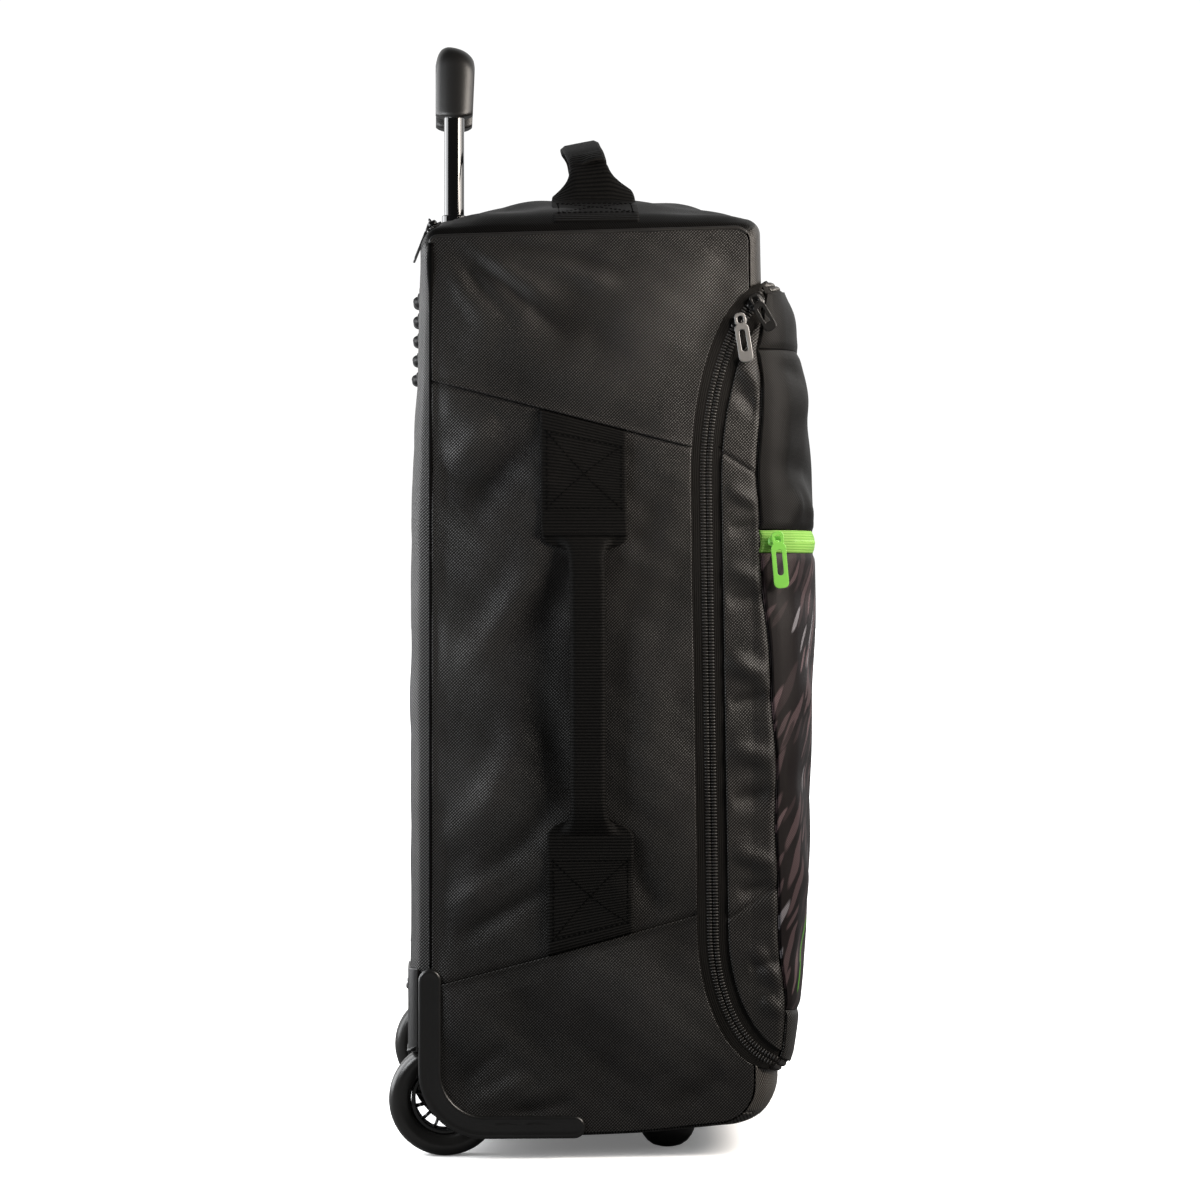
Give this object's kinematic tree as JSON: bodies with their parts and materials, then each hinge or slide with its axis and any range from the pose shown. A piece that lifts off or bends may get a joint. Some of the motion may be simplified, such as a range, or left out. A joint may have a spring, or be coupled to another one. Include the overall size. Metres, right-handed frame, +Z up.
{
  "type": "wheeled kit bag",
  "caption": "Upright soft-sided kit bag with a zipped front lid and pocket, webbing grab handles, guarded rear wheels, front feet and a telescopic pull handle.",
  "frame": {"origin": "middle of the bounding box's base, on the floor that the bag stands on", "axes": "+Z up, -Y towards the lid at the front, -X towards the side with the webbing handle"},
  "size_m": [0.3756, 0.315, 0.7974],
  "materials": {
    "shell_fabric": "matt charcoal twill",
    "satin_fabric": "charcoal twill with a slight sheen",
    "printed_fabric": null,
    "lime_zip": "lime coil zip",
    "lime_plastic": "lime moulded plastic",
    "zip_tape": "black ribbed zip tape",
    "webbing": "black ribbed webbing",
    "black_plastic": "satin black",
    "black_rubber": "matt black",
    "tyre": "matt black",
    "gloss_tube": "gloss black",
    "grey_metal": "satin grey"
  },
  "bodies": {
    "bag": {"back_panel": "shell_fabric", "top_panel": "shell_fabric", "base_panel": "shell_fabric", "front_panel_upper": "shell_fabric", "front_panel_lower": "shell_fabric", "side_upper_left": "shell_fabric", "side_upper_right": "shell_fabric", "side_middle_left": "shell_fabric", "side_middle_right": "shell_fabric", "side_lower_left": "shell_fabric", "side_lower_right": "shell_fabric", "piping_left": "shell_fabric", "piping_right": "shell_fabric", "lid_gusset_left": "shell_fabric", "lid_gusset_right": "shell_fabric", "lid_upper_panel": "satin_fabric", "pocket_zip": "lime_zip", "pocket_panel": "printed_fabric", "lid_lower_panel": "shell_fabric", "zip_tape_left": "zip_tape", "zip_tape_right": "zip_tape", "zip_tape_top": "zip_tape", "zip_tape_bottom": "zip_tape", "zip_chain": "zip_tape", "zip_slider_a": "black_plastic", "zip_slider_b": "black_plastic", "zip_pull_a": "grey_metal", "zip_pull_b": "black_plastic", "pocket_slider": "lime_plastic", "pocket_pull": "lime_plastic", "handle_pocket_zip": "zip_tape", "handle_pocket_slider": "black_plastic", "handle_pocket_pull": "grey_metal", "side_handle": "webbing", "top_handle": "webbing", "wheel_guard_left": "black_plastic", "wheel_guard_right": "black_plastic", "axle_left": "grey_metal", "axle_right": "grey_metal", "guard_screw_left": "grey_metal", "guard_screw_right": "grey_metal", "foot_left": "black_rubber", "foot_right": "black_rubber", "back_bumper": "black_rubber", "handle_sleeve_left": "gloss_tube", "handle_sleeve_right": "gloss_tube"},
    "wheel_left": {"wheel_tyre_left": "tyre", "wheel_hub_left": "black_plastic"},
    "wheel_right": {"wheel_tyre_right": "tyre", "wheel_hub_right": "black_plastic"},
    "pull_handle": {"handle_tube_left": "gloss_tube", "handle_tube_right": "gloss_tube", "handle_grip": "black_plastic"}
  },
  "joints": [
    {"name": "wheel_left_spin", "type": "hinge", "parent": "bag", "child": "wheel_left", "pos_m": [-0.1448, 0.1175, 0.04], "axis": [1, 0, 0], "continuous": true},
    {"name": "wheel_right_spin", "type": "hinge", "parent": "bag", "child": "wheel_right", "pos_m": [0.1572, 0.1175, 0.04], "axis": [1, 0, 0], "continuous": true},
    {"name": "handle_slide", "type": "slide", "parent": "bag", "child": "pull_handle", "axis": [0, 0, 1], "range_m": [-0.06, 0.25]}
  ]
}
